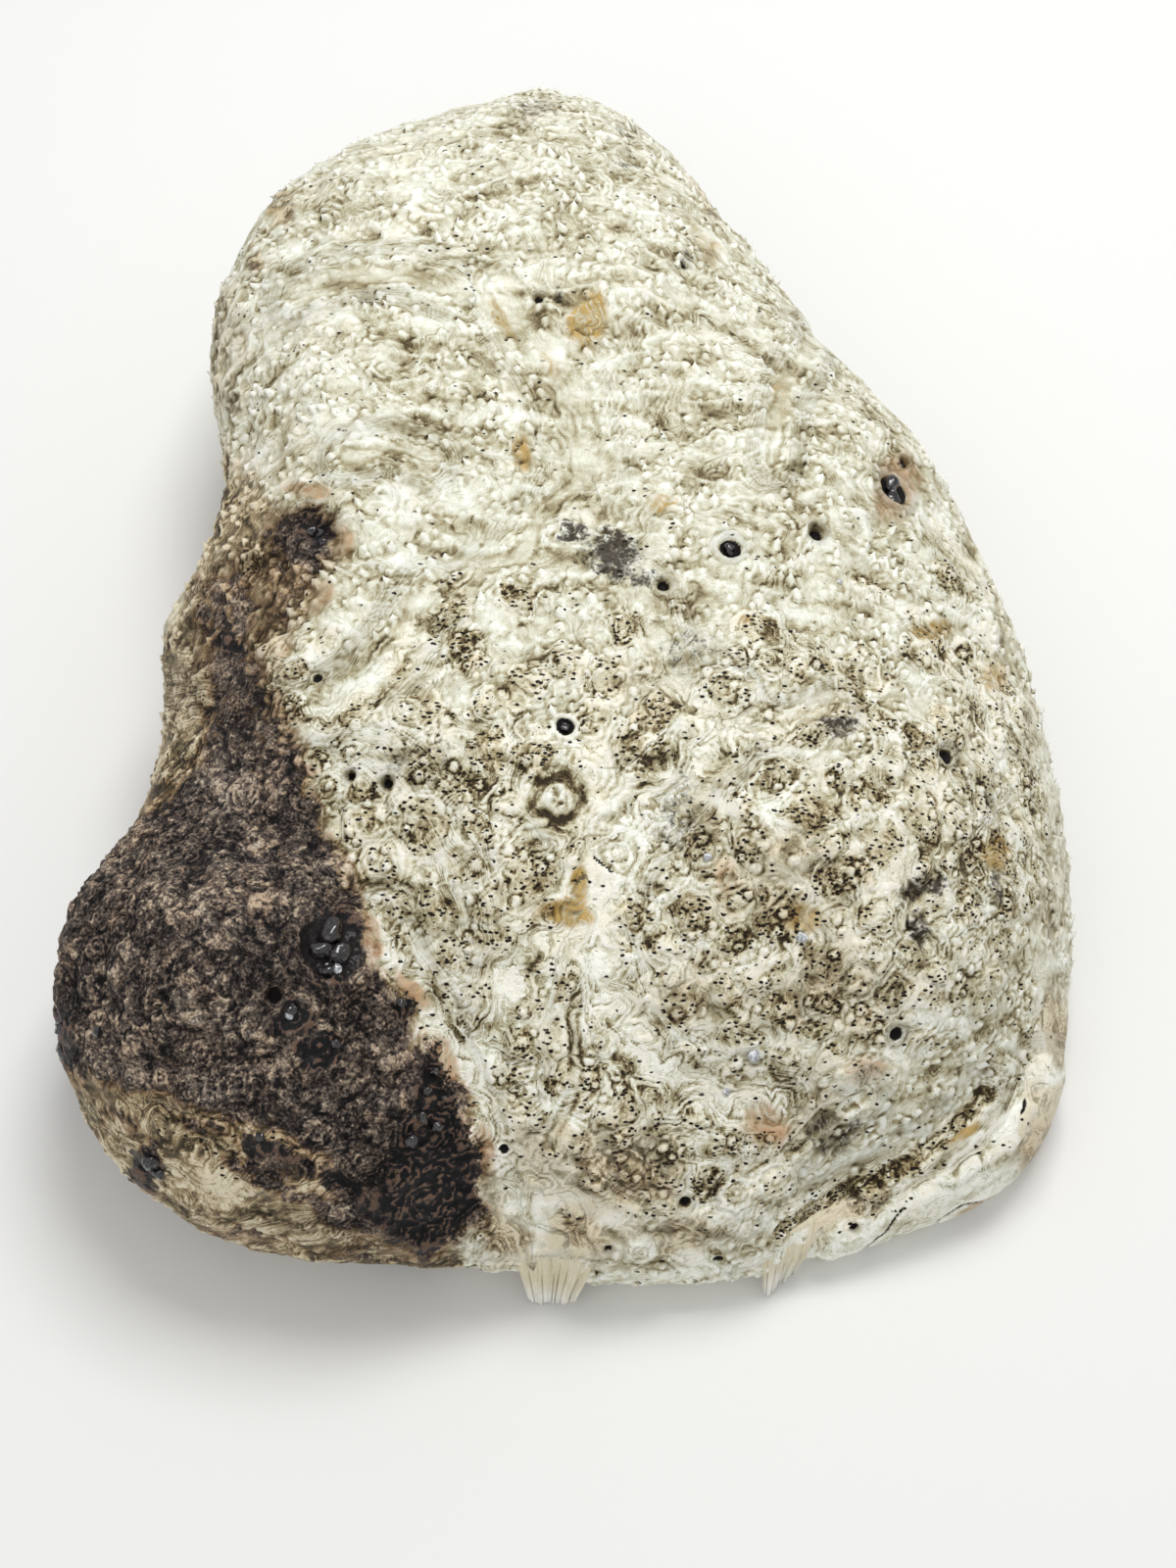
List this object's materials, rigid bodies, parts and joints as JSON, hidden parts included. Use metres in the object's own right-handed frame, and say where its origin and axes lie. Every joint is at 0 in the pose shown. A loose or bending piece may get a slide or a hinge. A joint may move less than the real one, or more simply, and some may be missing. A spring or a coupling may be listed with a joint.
{
  "type": "burl cap",
  "caption": "Domed, lobed wood burl covered in small buds and pits, barkless, sawn off on one flat face that it rests on.",
  "frame": {"origin": "on the flat sawn face, under the middle of the object's box in plan", "axes": "+Z out of the dome, away from the sawn face; +Y along the length, towards the narrow far end; +X across the width, away from the dark bark-covered lobe"},
  "size_m": [0.3766, 0.541, 0.1463],
  "materials": {
    "bleached_burl_wood": "dry, bleached, barkless wood"
  },
  "bodies": {
    "root": {"burl_cap": "bleached_burl_wood"}
  },
  "joints": []
}
